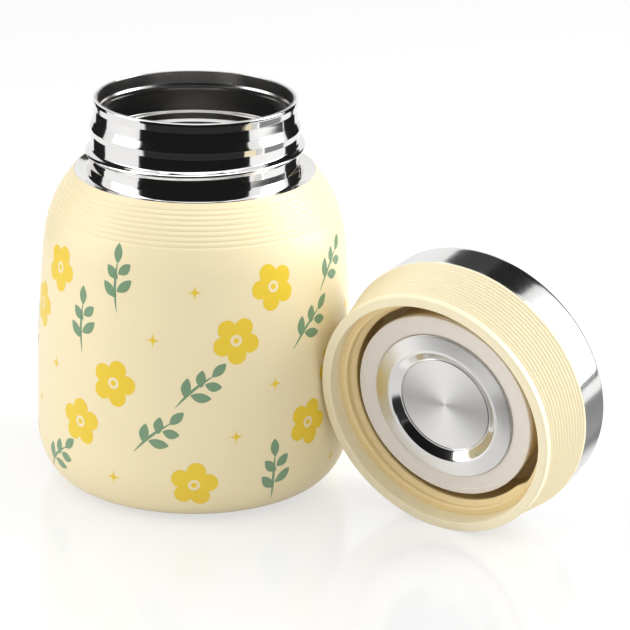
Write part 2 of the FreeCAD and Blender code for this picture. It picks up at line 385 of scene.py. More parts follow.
def close_tree(graph, geometry, material, move):
    """Ends a tree in Set Position, with the offset or position in move, Realize Instances and Set
    Material."""
    moved = graph.add("GeometryNodeSetPosition", None, {"Geometry": geometry, **move})
    real = graph.add("GeometryNodeRealizeInstances", None, {0: moved.outputs[0]})
    skin = graph.add("GeometryNodeSetMaterial", None,
                     {"Geometry": real.outputs[0], "Material": material})
    graph.add("NodeGroupOutput", None, {"Geometry": skin.outputs[0]})


def apply_tree(obj, graph, values, sharp=SHARP_DEGREES):
    """Runs a node tree on an object and leaves it as a plain mesh."""
    modifier = obj.modifiers.new("shape", "NODES")
    modifier.node_group = graph.tree
    for item in graph.tree.interface.items_tree:
        if item.item_type == "SOCKET" and item.in_out == "INPUT" and item.name in values:
            modifier[item.identifier] = values[item.name]
    settle(obj, modifier, sharp)


def turned_rings(obj, material, sizes):
    """Sinks evenly spaced rings into a turned surface, by the length that 'along' holds. The
    higher Narrow is, the wider is the land between two grooves."""
    graph, value = new_tree("turned rings", {
        "Start": "Float", "Pitch": "Float", "Depth": "Float", "Count": "Int", "Narrow": "Float"})
    length = graph.val("GeometryNodeInputNamedAttribute", "Attribute", {"data_type": "FLOAT"},
                       {"Name": "along"})
    place = (length - value["Start"]) / value["Pitch"]
    inside = (graph.math("GREATER_THAN", place, 0.0)
              * graph.math("LESS_THAN", place, value["Count"]))
    phase = graph.math("FRACT", place)
    dip = graph.math("ABSOLUTE", graph.math("SINE", phase * math.pi))
    sunk = graph.math("POWER", dip, value["Narrow"]) * inside * value["Depth"] * -1.0
    offset = graph.val("ShaderNodeVectorMath", 0, {"operation": "SCALE"},
                       {0: graph.val("GeometryNodeInputNormal", 0), "Scale": sunk})
    close_tree(graph, value["Geometry"], material, {"Offset": offset})
    apply_tree(obj, graph, sizes, RINGED_SHARP_DEGREES)
    obj.data.attributes.remove(obj.data.attributes["along"])


def rolled_thread(obj, material, sizes):
    """Raises a helical ridge out of the wall of a turned piece, or into its bore where Height is
    negative. Its middle stands at the height Middle, Sweep turns round the axis."""
    on_wall_within, off_wall_beyond = 0.3 * MM, 0.9 * MM
    run_out = 0.035
    graph, value = new_tree("rolled thread", dict.fromkeys(sizes, "Float"))
    x, y, z = graph.split(graph.val("GeometryNodeInputPosition", 0))
    angle = graph.math("ARCTAN2", y, x) / TURN
    away = graph.from_axis(x, y)
    on_wall = 1.0 - graph.smooth(
        graph.math("ABSOLUTE", away - value["Wall"]), on_wall_within, off_wall_beyond)
    rise = (z - value["Middle"]) / value["Lead"] - (angle - value["Sweep"])
    nearest = graph.math("ROUND", rise)
    off = graph.math("ABSOLUTE", rise - nearest) * value["Lead"]
    travelled = graph.math("ABSOLUTE", angle - value["Sweep"] + nearest)
    half = value["Turns"] * 0.5
    ends = 1.0 - graph.smooth(travelled, half - run_out, half)
    flank = 1.0 - graph.smooth(off, value["Crest"] * 0.5, value["Root"] * 0.5)
    lift = flank * ends * on_wall * value["Height"]
    offset = graph.join(x / away * lift, y / away * lift, 0.0)
    close_tree(graph, value["Geometry"], material, {"Offset": offset})
    apply_tree(obj, graph, sizes)


# Materials

def surface(name, base, metallic=0.0, roughness=0.4, constants=None):
    """A material with one Principled shader; returns it, its graph and the shader."""
    made, graph = blank_material(name)
    shader = graph.add("ShaderNodeBsdfPrincipled", None, {
        "Base Color": rgba(base), "Metallic": metallic, "Roughness": roughness,
        **(constants or {})})
    graph.add("ShaderNodeOutputMaterial", None, {"Surface": shader.outputs[0]})
    return made, graph, shader


def place_of(graph, in_lid):
    """A place on a piece in metres, in the jar's frame or in the lid's own frame."""
    spot = graph.val("ShaderNodeTexCoord", "Object")
    if in_lid:
        spot = graph.val("ShaderNodeMapping", 0, {"vector_type": "TEXTURE"}, {
            "Vector": spot, "Location": LID.to_translation(), "Rotation": LID.to_euler()})
    return spot


def noise(graph, vector, scale, detail=2.0, roughness=0.5):
    return graph.val("ShaderNodeTexNoise", 0, None, {
        "Vector": vector, "Scale": scale, "Detail": detail, "Roughness": roughness})


def bump(graph, shader, height, depth):
    """Feeds a height from 0 to 1 to the shader's normal, with its depth in metres."""
    node = graph.add("ShaderNodeBump", None, {"Strength": 1.0, "Distance": depth, "Height": height})
    graph.feed(shader.inputs["Normal"], node.outputs[0])


def tint(graph, shader, base, amount, vary):
    """Varies a base colour a little lighter and darker by a value from 0 to 1."""
    dark = rgba([c * (1.0 - amount) for c in base])
    light = rgba([min(1.0, c * (1.0 + amount)) for c in base])
    graph.feed(shader.inputs["Base Color"], graph.mix(vary, dark, light))


def enamel(name, base, roughness=0.42):
    """Sprayed enamel: an even satin colour with a faint pebbled skin."""
    made, graph, shader = surface(name, base, 0.0, roughness, {
        "Specular IOR Level": 0.45, "Coat Weight": 0.12, "Coat Roughness": 0.25})
    spot = place_of(graph, in_lid=False)
    tint(graph, shader, base, amount=0.012, vary=noise(graph, spot, 60.0))
    grain = noise(graph, spot, 1400.0, detail=3.0, roughness=0.6)
    graph.feed(shader.inputs["Roughness"], grain * 0.08 + (roughness - 0.04))
    bump(graph, shader, grain, depth=0.006 * MM)
    return made


def moulded(name, base, roughness=0.4, in_lid=True):
    """Moulded plastic with a fine matt texture and a slight unevenness of colour."""
    made, graph, shader = surface(name, base, 0.0, roughness, {
        "Specular IOR Level": 0.45, "Subsurface Weight": 0.06,
        "Subsurface Radius": (0.004, 0.003, 0.002)})
    spot = place_of(graph, in_lid)
    tint(graph, shader, base, amount=0.015, vary=noise(graph, spot, 90.0))
    grain = noise(graph, spot, 2600.0)
    graph.feed(shader.inputs["Roughness"], grain * 0.1 + (roughness - 0.05))
    bump(graph, shader, grain, depth=0.004 * MM)
    return made


def turned_steel(name, base, roughness, depth, pitch, in_lid, by_height):
    """Steel with fine turned lines round its axis, spaced by radius or by height."""
    made, graph, shader = surface(name, base, 1.0, roughness)
    x, y, z = graph.split(place_of(graph, in_lid))
    line = z if by_height else graph.from_axis(x, y)
    drift = graph.math("ARCTAN2", y, x)
    fine = noise(graph, graph.join(line / pitch, drift * 0.6, 0.0), 1.0,
                 detail=3.0, roughness=0.7)
    coarse = noise(graph, graph.join(line / (pitch * 9.0), drift * 0.3, 0.0), 1.0)
    graph.feed(shader.inputs["Roughness"], (fine - 0.5) * 0.12 + roughness)
    tint(graph, shader, base, amount=0.03, vary=coarse)
    bump(graph, shader, fine, depth)
    return made


def polished_steel(name, base, roughness=0.07):
    """Drawn and polished steel with faint marks round it."""
    made, graph, shader = surface(name, base, 1.0, roughness)
    spot = place_of(graph, in_lid=False)
    x, y, z = graph.split(spot)
    marks = noise(graph, graph.join(x * 60.0, y * 60.0, z * 1500.0), 1.0,
                  detail=4.0, roughness=0.6)
    graph.feed(shader.inputs["Roughness"], marks * 0.06 + (roughness - 0.02))
    tint(graph, shader, base, amount=0.02, vary=noise(graph, spot, 80.0))
    bump(graph, shader, marks, depth=0.0015 * MM)
    return made


def plate_steel(name, base):
    """The lid's inner plate: a polished slope between a brushed land and a spun centre. On the spun
    centre a painted sheen, two soft bright fans and two dark ones, is put into the base colour by
    angle round the axis."""
    made, graph, shader = surface(name, base, 1.0, 0.2)
    x, y, z = graph.split(place_of(graph, in_lid=True))
    r = graph.from_axis(x, y)
    slope = graph.between(r, 15.5 * MM, 15.9 * MM, 18.8 * MM, 19.2 * MM)
    land = graph.smooth(r, 18.8 * MM, 19.4 * MM)
    rough = 1.0 - slope
    fine = noise(graph, graph.join(r / (0.16 * MM), 0.0, 0.0), 1.0, roughness=0.7)
    streak = noise(graph, graph.join(r / (0.6 * MM), 0.0, 0.0), 1.0)
    graph.feed(shader.inputs["Roughness"], rough * 0.15 + 0.1 + (fine - 0.5) * 0.05)
    # Painted sheen: by angle round the axis the centre's colour runs from full to darkened, in two
    # bright fans and two dark ones
    around = graph.math("ARCTAN2", y, x)
    painted_sheen_fans = graph.math("POWER", graph.math("ABSOLUTE", graph.math("SINE", around)), 1.4)
    painted_sheen_level = painted_sheen_fans * (rough - land) + slope + land
    # Colour of the painted dark fans: the base colour at 0.45
    dark = rgba([c * 0.45 for c in base])
    graph.feed(shader.inputs["Base Color"],
               graph.mix(painted_sheen_level * 0.85 + streak * 0.15, dark, rgba(base)))
    bump(graph, shader, fine * rough, depth=0.012 * MM)
    return made


def silicone(name, base):
    """Milky silicone with a soft sheen."""
    made, graph, shader = surface(name, base, 0.0, 0.35, {
        "Subsurface Weight": 0.35, "Subsurface Radius": (0.006, 0.006, 0.006),
        "Specular IOR Level": 0.4})
    spot = place_of(graph, in_lid=True)
    tint(graph, shader, base, amount=0.03, vary=noise(graph, spot, 300.0))
    bump(graph, shader, noise(graph, spot, 1800.0), depth=0.004 * MM)
    return made


# Shell

def shoulder_circle():
    """Centre, radius, start angle and collar angle of the shoulder's curve."""
    start_angle = math.asin((SHOULDER_HEIGHT - BELLY_HEIGHT) / BARREL_RADIUS)
    start = (BODY_RADIUS - BARREL_RADIUS + BARREL_RADIUS * math.cos(start_angle), SHOULDER_HEIGHT)
    end = (COLLAR_RADIUS, COLLAR_HEIGHT)
    chord_angle = math.atan2(start[0] - end[0], end[1] - start[1])
    radius = math.dist(start, end) / (2.0 * math.sin(chord_angle - start_angle))
    centre = (start[0] - radius * math.cos(start_angle), start[1] - radius * math.sin(start_angle))
    return centre, radius, start_angle, math.acos((COLLAR_RADIUS - centre[0]) / radius)


def shell_side(inset, corner_steps, barrel_steps, shoulder_steps):
    """The jar's side from foot to collar, with each point's length down from the collar, or
    NO_RING below the shoulder."""
    low = BODY_RADIUS - CORNER_WIDTH
    points = []
    for i in range(corner_steps + 1):
        a = math.pi / 2.0 * i / corner_steps
        points.append((low + (CORNER_WIDTH - inset) * math.sin(a),
                       CORNER_HEIGHT - (CORNER_HEIGHT - inset) * math.cos(a), NO_RING))
    centre, radius, start, end = shoulder_circle()
    for i in range(barrel_steps):
        a = start * i / barrel_steps
        points.append((BODY_RADIUS - BARREL_RADIUS + (BARREL_RADIUS - inset) * math.cos(a),
                       BELLY_HEIGHT + (BARREL_RADIUS - inset) * math.sin(a), NO_RING))
    for i in range(shoulder_steps + 1):
        a = start + (end - start) * i / shoulder_steps
        points.append((centre[0] + (radius - inset) * math.cos(a),
                       centre[1] + (radius - inset) * math.sin(a), radius * (end - a) * MM))
    return points


class JAR_OT_shell(bpy.types.Operator):
    """Make the painted shell with its turned shoulder rings."""
    bl_idname = "food_jar.shell"
    bl_label = "Painted shell"

    def execute(self, context):
        jar = context.scene.food_jar
        outside = shell_side(PAINT_SKIN, corner_steps=28, barrel_steps=18, shoulder_steps=210)
        inside = shell_side(SHELL_WALL, corner_steps=10, barrel_steps=8, shoulder_steps=14)
        foot = [(FOOT_INNER + 0.8, HEM_HEIGHT, NO_RING), (FOOT_INNER, HEM_HEIGHT, NO_RING),
                (FOOT_INNER, 0.3, NO_RING), (FOOT_INNER + 0.3, PAINT_SKIN, NO_RING)]
        section = outside + inside[::-1] + foot
        paint = enamel("cream enamel", jar.enamel)
        obj = lathe("painted_shell", [p[:2] for p in section], paint, steps=320,
                    along=[p[2] for p in section])
        turned_rings(obj, paint, {
            "Start": 1.73 * MM, "Pitch": jar.ring_pitch, "Depth": jar.ring_depth,
            "Count": jar.ring_count, "Narrow": 4.0})
        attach(obj, "jar")
        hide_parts("outer_shell")
        return {"FINISHED"}


class JAR_OT_neck(bpy.types.Operator):
    """Make the threaded steel neck."""
    bl_idname = "food_jar.neck"
    bl_label = "Threaded neck"

    def execute(self, context):
        jar = context.scene.food_jar
        section = soften([
            (37.9, 101.15, 0.1), (36.6, 100.5, 0.8), (34.2, 99.75, 1.6), (32.9, 102.6, 2.4),
            (NECK_RADIUS, 105.0), (NECK_RADIUS, 113.2, 1.0), (33.0, 115.3, 0.9),
            (31.95, 117.7, 1.2), (31.7, 121.2, 0.8), (31.98, 123.2, 0.5),
            (31.98, RIM_HEIGHT, 0.4), (31.15, RIM_HEIGHT, 0.1), (31.15, 118.6), (31.85, 116.2),
            (31.85, 99.9, 0.3), (33.9, 99.2, 0.8), (37.9, 100.6)])
        steel = polished_steel("polished steel", POLISHED)
        obj = lathe("neck_tube", divide(section, 0.8, wall=NECK_RADIUS, fine=0.1), steel,
                    steps=360)
        rolled_thread(obj, steel, {
            "Wall": NECK_RADIUS * MM, "Height": jar.thread_height, "Lead": THREAD_LEAD * MM,
            "Turns": jar.thread_turns, "Root": THREAD_ROOT * MM, "Crest": 0.2 * MM,
            "Middle": 108.2 * MM, "Sweep": NECK_THREAD_SWEEP})
        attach(obj, "jar")
        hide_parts("threaded_neck")
        return {"FINISHED"}


def vessel_dome(inset):
    """The curve from the vessel's side in to its throat, moved inwards by inset."""
    side, throat, foot, top = 43.0 - inset, 28.9 - inset, 76.7, 98.6 - inset
    steps = 16
    points = []
    for i in range(steps + 1):
        a = math.pi / 2.0 * i / steps
        points.append((throat + (side - throat) * math.cos(a), foot + (top - foot) * math.sin(a)))
    return points


class JAR_OT_vessel(bpy.types.Operator):
    """Make the inner vessel with its bore and seal seat."""
    bl_idname = "food_jar.vessel"
    bl_label = "Inner vessel"

    def execute(self, context):
        section = soften(
            [(0.0, 7.0), (43.0, 7.0, 10.0)] + vessel_dome(0.0)
            + [(28.9, 107.5), (31.1, 107.5), (31.1, 124.18, 0.1), (30.6, 124.18, 0.2),
               (30.6, 120.3, 0.5), (30.25, 119.6, 0.5), (30.25, 118.8, 0.5), (30.6, 118.1, 0.5),
               (30.6, 111.3, 0.3), (29.5, 110.7, 0.4), (29.5, 108.7, 0.3), (28.4, 108.0, 0.3)]
            + vessel_dome(0.5)[::-1] + [(42.5, 7.5, 9.5), (0.0, 7.5)])
        steel = turned_steel("vessel steel", (0.50, 0.49, 0.48), roughness=0.2, depth=0.004 * MM,
                             pitch=0.25 * MM, in_lid=False, by_height=True)
        obj = lathe("inner_pot", divide(section, 2.0), steel, steps=256)
        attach(obj, "jar")
        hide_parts("inner_vessel")
        return {"FINISHED"}


class JAR_OT_base(bpy.types.Operator):
    """Make the pressed cover in the foot."""
    bl_idname = "food_jar.base"
    bl_label = "Base cover"

    def execute(self, context):
        section = soften([
            (0.0, 0.65), (14.0, 0.65, 1.0), (15.5, 0.95, 1.0), (33.5, 0.95, 1.0),
            (34.6, 0.55, 0.8), (36.0, 0.55, 0.3), (36.0, 1.1), (0.0, 1.1)])
        steel = turned_steel("base steel", (0.70, 0.70, 0.69), roughness=0.28, depth=0.006 * MM,
                             pitch=0.2 * MM, in_lid=False, by_height=False)
        obj = lathe("foot_plate", divide(section, 1.5), steel, steps=192)
        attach(obj, "jar")
        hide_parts("base_cover")
        return {"FINISHED"}


class JAR_OT_skirt(bpy.types.Operator):
    """Make the lid's ringed skirt."""
    bl_idname = "food_jar.skirt"
    bl_label = "Lid skirt"

    def execute(self, context):
        lid = context.scene.food_jar_lid
        plastic = moulded("skirt plastic", lid.plastic)
        low, foot = (SKIRT_FOOT_RADIUS, 1.5), (SKIRT_FOOT_RADIUS, 4.0)
        top = (SKIRT_TOP_RADIUS, 18.2)
        upright = foot[1] - low[1]
        length = upright + math.dist(foot, top)
        steps = 168
        margin = 0.6
        flank = []
        for i in range(steps + 1):
            run = length * i / steps
            t = max(0.0, run - upright) / (length - upright)
            flank.append((foot[0] + (top[0] - foot[0]) * t,
                          low[1] + run if run < upright else foot[1] + (top[1] - foot[1]) * t))
        lip = soften([(LID_MOUTH_RADIUS, 5.9), (LID_MOUTH_RADIUS, 0.0, 0.4),
                      (SKIRT_FOOT_RADIUS, 0.0, 1.0), (SKIRT_FOOT_RADIUS, 1.4)])
        inner = [(42.8, CAP_FOOT_HEIGHT), (42.2, 29.3), (41.0, 30.55), (0.0, 30.55),
                 (0.0, 28.9), (40.3, 28.9), (38.5, 10.0)]
        along = ([NO_RING] * len(lip) + [length * MM * i / steps for i in range(steps + 1)]
                 + [NO_RING] * len(inner))
        obj = lathe("lid_skirt", lip + flank + inner, plastic, along=along)
        turned_rings(obj, plastic, {
            "Start": margin * MM, "Pitch": (length - 2.0 * margin) / lid.ring_count * MM,
            "Depth": lid.ring_depth, "Count": lid.ring_count, "Narrow": 1.4})
        obj.data.transform(LID)
        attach(obj, "lid")
        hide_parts("skirt_shell")
        return {"FINISHED"}


class JAR_OT_cap(bpy.types.Operator):
    """Make the lid's steel cap."""
    bl_idname = "food_jar.cap"
    bl_label = "Steel cap"

    def execute(self, context):
        section = soften([
            (SKIRT_TOP_RADIUS, CAP_FOOT_HEIGHT, 0.12), (42.7, 31.18, 1.8), (0.0, 31.18),
            (0.0, 30.7), (42.2, 30.7, 1.2), (42.82, CAP_FOOT_HEIGHT)])
        steel = turned_steel("cap steel", (0.78, 0.78, 0.77), roughness=0.13, depth=0.004 * MM,
                             pitch=0.12 * MM, in_lid=True, by_height=True)
        obj = lathe("lid_cap", divide(section, 1.5), steel, steps=320, place=LID)
        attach(obj, "lid")
        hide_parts("steel_cap")
        return {"FINISHED"}


class JAR_OT_sleeve(bpy.types.Operator):
    """Make the threaded sleeve inside the lid."""
    bl_idname = "food_jar.sleeve"
    bl_label = "Threaded sleeve"

    def execute(self, context):
        lid = context.scene.food_jar_lid
        # The sleeve takes the liner colour with its painted shade
        plastic = moulded("sleeve plastic", lid.shaded_liner)
        section = soften([
            (36.98, 5.25), (36.98, 25.3), (29.65, 25.3), (29.65, 23.7),
            (SLEEVE_RADIUS, 23.7, 0.8), (SLEEVE_RADIUS, 5.72, 0.3), (35.1, 5.25, 0.2)])
        obj = lathe("lid_sleeve", divide(section, 1.0, wall=SLEEVE_RADIUS), plastic,
                    steps=320)
        rolled_thread(obj, plastic, {
            "Wall": SLEEVE_RADIUS * MM, "Height": -lid.thread_height, "Lead": THREAD_LEAD * MM,
            "Turns": 0.75, "Root": THREAD_ROOT * MM, "Crest": 0.7 * MM, "Middle": 9.075 * MM,
            "Sweep": LID_THREAD_SWEEP})
        obj.data.transform(LID)
        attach(obj, "lid")
        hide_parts("thread_sleeve")
        return {"FINISHED"}


class JAR_OT_plug(bpy.types.Operator):
    """Make the plug, its steel inner plate and the silicone seal."""
    bl_idname = "food_jar.plug"
    bl_label = "Plug, plate and seal"

    def execute(self, context):
        lid = context.scene.food_jar_lid
        cup_section = soften([
            (0.0, 8.05), (23.7, 8.05), (23.7, 8.65), (29.6, 8.65, 0.2), (29.6, 25.3, 0.2),
            (28.2, 25.3, 0.2), (28.2, 10.1, 0.5), (0.0, 10.1)])
        # The plug takes the liner colour with its painted shade, a little darker again
        plastic = moulded("plug plastic", [c * 0.97 for c in lid.shaded_liner])
        cup = lathe("lid_plug", divide(cup_section, 1.5), plastic, steps=256, place=LID)
        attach(cup, "lid")
        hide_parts("plug_cup")

        plate_section = soften([
            (0.0, 7.5), (15.2, 7.5, 0.15), (15.5, 7.3, 0.15), (15.8, 7.5, 0.3), (18.9, 5.5, 1.5),
            (24.2, 6.45, 0.2), (24.2, 7.0, 0.1), (18.95, 6.0, 0.5), (15.7, 8.0, 0.4),
            (0.0, 8.0)])
        steel = plate_steel("plate steel", POLISHED)
        plate = lathe("lid_plate", divide(plate_section, 0.5), steel, steps=320, place=LID)
        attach(plate, "lid")
        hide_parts("inner_plate")

        seal_section = soften([
            (30.5, 6.8, 0.4), (30.5, 8.6, 0.2), (23.9, 8.6), (23.9, 7.2), (24.4, 7.2),
            (24.4, 7.0, 0.1), (28.4, 7.0, 0.15), (28.7, 6.8, 0.15)])
        milky = silicone("milky silicone", lid.silicone)
        ring = lathe("lid_seal", divide(seal_section, 0.8), milky, steps=256, place=LID)
        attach(ring, "seal")
        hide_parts("seal_ring")
        return {"FINISHED"}


class JAR_OT_hidden(bpy.types.Operator):
    """Give the sealed inner pieces their materials."""
    bl_idname = "food_jar.hidden"
    bl_label = "Sealed inner pieces"

    def execute(self, context):
        foil = turned_steel("wrapped foil", (0.86, 0.86, 0.87), roughness=0.22, depth=0.02 * MM,
                            pitch=1.5 * MM, in_lid=False, by_height=True)
        plain = turned_steel("plain steel", (0.62, 0.62, 0.61), roughness=0.4, depth=0.004 * MM,
                             pitch=0.3 * MM, in_lid=False, by_height=False)
        solder = moulded("sealing glass", (0.1, 0.1, 0.12), roughness=0.15, in_lid=False)
        foam = moulded("white foam", (0.88, 0.88, 0.85), roughness=0.9)
        for node, skin in (("heat_shield", foil), ("getter", plain), ("base_disc", plain),
                           ("port_seal", solder), ("insulation_puck", foam)):
            mesh = frame["nodes"][node].data
            if not mesh.materials:
                mesh.materials.append(skin)
            for i in range(len(mesh.materials)):
                mesh.materials[i] = skin
        return {"FINISHED"}


# Print

def fan(outline, hole, rings=4):
    """A flat motif between a round hole and an outline of the same number of points."""
    count = len(outline)
    verts, faces = [], []
    for j in range(rings + 1):
        t = j / rings
        for i, (x, y) in enumerate(outline):
            a = TURN * i / count
            hx, hy = hole * math.cos(a), hole * math.sin(a)
            verts.append((hx + (x - hx) * t, hy + (y - hy) * t, 0.0))
    for j in range(rings):
        for i in range(count):
            n = (i + 1) % count
            faces.append((j * count + i, (j + 1) * count + i, (j + 1) * count + n, j * count + n))
    return verts, faces


def blade(start, heading, length, width, bend=0.0, steps=14, across=4):
    """A pointed leaf from its stalk end, with its heading in degrees."""
    verts, faces = [], []
    for i in range(steps + 1):
        t = i / steps
        half = width / 2.0 * math.sin(math.pi * t) ** 0.8 if 0.0 < t < 1.0 else 0.01
        middle = bend * math.sin(math.pi * t)
        for j in range(across + 1):
            s = (2.0 * j / across - 1.0) * half + middle
            a = math.radians(heading)
            x = start[0] + length * t * math.cos(a) - s * math.sin(a)
            y = start[1] + length * t * math.sin(a) + s * math.cos(a)
            verts.append((x, y, 0.0))
    row = across + 1
    for i in range(steps):
        for j in range(across):
            v = i * row + j
            faces.append((v, v + row, v + row + 1, v + 1))
    return verts, faces


def round_outline(count, reach):
    """Points round a motif, the one at step i as far out as reach(i)."""
    return [(reach(i) * math.cos(TURN * i / count), reach(i) * math.sin(TURN * i / count))
            for i in range(count)]


def blossom_parts():
    """A round flower of five petals, with a dot in its open eye."""
    def petals(i):
        a = TURN * i / 90
        return 7.6 * (0.66 + 0.34 * abs(math.cos(2.5 * a)) ** 0.75)
    dot = round_outline(24, lambda i: 0.9)
    return [fan(round_outline(90, petals), hole=1.9), fan(dot, hole=0.02, rings=2)]


def sprig_parts():
    """A curved stalk with two pairs of leaves and one at its tip."""
    parts = [blade((-8.5, -1.0), 4.0, 17.0, 0.9, 0.8)]
    for x, side, size in ((-3.6, 1, 6.6), (-1.8, -1, 6.6), (2.2, 1, 5.6), (3.8, -1, 5.4)):
        parts.append(blade((x, -0.4), side * 48.0, size, 3.1, 0.25 * side))
    parts.append(blade((7.0, 0.2), 6.0, 6.0, 3.0))
    return parts


def sparkle_parts():
    """A small star of four points."""
    def reach(i):
        from_notch = abs(i % 12 - 6) / 6
        return 2.4 if i % 12 == 0 else 0.75 + from_notch ** 3
    return [fan(round_outline(48, reach), hole=0.05, rings=2)]


def flat_motif(parts):
    """One flat mesh from a motif's parts, in metres."""
    verts, faces = [], []
    for part_verts, part_faces in parts:
        base = len(verts)
        verts += [(x * MM, y * MM, z * MM) for x, y, z in part_verts]
        faces += [tuple(v + base for v in f) for f in part_faces]
    mesh = bpy.data.meshes.new("motif")
    mesh.from_pydata(verts, [], faces)
    return add_object("motif", mesh)


PRINT_COLUMNS = 12
PRINT_ROWS = (14.0, 29.5, 45.0, 60.5, 76.0)


def print_spots():
    """Where each kind of motif stands: turn round the jar, height in mm, lean in degrees."""
    blossoms, sprigs, sparkles = [], [], []
    for row, height in enumerate(PRINT_ROWS):
        for column in range(PRINT_COLUMNS):
            turn = (column + 0.5 * (row % 2)) / PRINT_COLUMNS
            lean = 25.0 * (-1) ** (column + row)
            if (column + 2 * row) % 3 == 0:
                blossoms.append((turn, height, 17.0 * column + 40.0 * row))
            elif (column + 2 * row) % 3 == 1:
                sprigs.append((turn, height, 62.0 + lean))
            else:
                sparkles.append((turn, height, 0.0))
    return blossoms, sprigs, sparkles


def printed(name, parts, spots, shell, ink):
    """Sets copies of a flat motif round the jar and lays them on the shell's surface."""
    lift = thickness = 0.02 * MM
    motif = flat_motif(parts)
    points = bpy.data.meshes.new(name)
    points.from_pydata([(t * TURN * BODY_RADIUS * MM, z * MM, 0.0) for t, z, _ in spots], [], [])
    points.attributes.new("lean", "FLOAT", "POINT").data.foreach_set(
        "value", [math.radians(lean) for _, _, lean in spots])
    points.materials.append(ink)
    obj = add_object(name, points)

    graph, value = new_tree("print on a turned surface", {
        "Radius": "Float", "Lift": "Float", "Motif": "Object", "Surface": "Object"})
    source, target = [
        graph.val("GeometryNodeObjectInfo", "Geometry", {"transform_space": "ORIGINAL"},
                  {"Object": value[role]})
        for role in ("Motif", "Surface")]
    lean = graph.val("GeometryNodeInputNamedAttribute", "Attribute", {"data_type": "FLOAT"},
                     {"Name": "lean"})
    copies = graph.add("GeometryNodeInstanceOnPoints", None, {
        "Points": value["Geometry"], "Instance": source,
        "Rotation": graph.join(0.0, 0.0, lean)})
    flat = graph.add("GeometryNodeRealizeInstances", None, {0: copies.outputs[0]})
    x, y, _ = graph.split(graph.val("GeometryNodeInputPosition", 0))
    angle = x / value["Radius"]
    cos, sin = graph.math("COSINE", angle), graph.math("SINE", angle)
    far = value["Radius"] * 1.2
    hit = graph.add("GeometryNodeRaycast", None, {
        "Target Geometry": target, "Source Position": graph.join(cos * far, sin * far, y),
        "Ray Direction": graph.join(cos * -1.0, sin * -1.0, 0.0), "Ray Length": 1.0})
    lifted = graph.val("ShaderNodeVectorMath", 0, {"operation": "MULTIPLY_ADD"}, {
        0: hit.outputs["Hit Normal"], 1: graph.join(value["Lift"], value["Lift"], value["Lift"]),
        2: hit.outputs["Hit Position"]})
    close_tree(graph, flat.outputs[0], ink, {"Position": lifted})
    apply_tree(obj, graph, {
        "Radius": BODY_RADIUS * MM, "Lift": lift, "Motif": motif, "Surface": shell})
    bpy.data.objects.remove(motif)

    thick = obj.modifiers.new("thickness", "SOLIDIFY")
    thick.thickness = thickness
    thick.offset = 1.0
    settle(obj, thick, sharp=40.0)
    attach(obj, "jar")


class JAR_OT_print(bpy.types.Operator):
    """Print the generic blossom, sprig and star pattern on the shell."""
    bl_idname = "food_jar.print"
    bl_label = "Print"

    def execute(self, context):
        jar = context.scene.food_jar
        shell = bpy.data.objects["painted_shell"]
        yellow = enamel("yellow print", jar.blossom, roughness=0.4)
        green = enamel("green print", jar.leaf, roughness=0.4)
        blossoms, sprigs, sparkles = print_spots()
        printed("print_blossoms", blossom_parts(), blossoms, shell, yellow)
        printed("print_sprigs", sprig_parts(), sprigs, shell, green)
        printed("print_stars", sparkle_parts(), sparkles, shell, yellow)
        return {"FINISHED"}


# Stage

# The photograph's camera: its place in metres, its turns, and its focal length in pixels
CAMERA_PLACE = Vector((0.0, -0.9375, 0.38305))
CAMERA_YAW = math.radians(2.346)
CAMERA_PITCH = math.radians(19.422)
CAMERA_ROLL = math.radians(1.001)
FOCAL_PIXELS = 3115.65
PICTURE_PIXELS = 630.0

# Strength of the white world as light, where 1 is what is seen of it
WORLD_LIGHT = 0.62

# Area lamps: name, place, width and height in metres, power in watts
LAMPS = (
    ("left strip", (-0.8, -0.1, 0.5), (0.5, 1.0), 3.5),
    ("right strip", (0.9, 0.05, 0.38), (0.5, 1.0), 10.0),
    ("top box", (0.0, -0.2, 1.1), (0.9, 0.9), 3.3),
)
LAMP_AIM = Vector((0.03, -0.02, 0.06))

# Cards that only show in reflections: name, ends in degrees from the front and positive to the
# right, radius, lower and upper edge in metres, brightness
CARDS = (
    ("front dark", -61.0, 59.0, 0.30, 0.001, 1.0, 0.012),
    ("right dark", 112.0, 144.0, 0.33, 0.001, 0.55, 0.015),
    ("left dark", -144.0, -112.0, 0.33, 0.001, 0.55, 0.015),
    ("back dark", 142.0, 174.0, 0.5, 0.32, 0.7, 0.05),
    ("low strip", 60.0, 112.0, 0.5, 0.001, 0.03, 0.02),
)

# Zones of the floor that reflections show dark: the bearings, as for the cards, and the distances
# in metres at which a zone begins, is full, fades and ends, and how dark it is
FLOOR_ZONES = (
    ((-60.0, -56.0, 56.0, 60.0), (0.15, 0.17, 0.29, 0.31), 0.97),
    ((13.0, 18.0, 60.0, 64.0), (0.108, 0.116, 0.15, 0.17), 0.97),
    ((58.0, 62.0, 110.0, 114.0), (0.14, 0.16, 0.29, 0.31), 0.7),
)

# Share of the floor's look that is its own white, which no shadow dims, and its half width
FLOOR_WHITE = 0.72
FLOOR_REACH = 6.0


def studio_world():
    """A white world that is seen brighter than it lights."""
    world = bpy.data.worlds.new("studio")
    world.use_nodes = True
    world.node_tree.nodes.clear()
    graph = Graph(world.node_tree)
    path = graph.add("ShaderNodeLightPath")
    seen = path.outputs["Is Camera Ray"]
    for ray in ("Is Transmission Ray", "Is Glossy Ray"):
        seen = graph.math("MAXIMUM", seen, path.outputs[ray])
    back = graph.add("ShaderNodeBackground", None, {
        "Color": rgba((1.0, 1.0, 1.0)), "Strength": seen + (1.0 - seen) * WORLD_LIGHT})
    graph.add("ShaderNodeOutputWorld", None, {"Surface": back.outputs[0]})
    return world


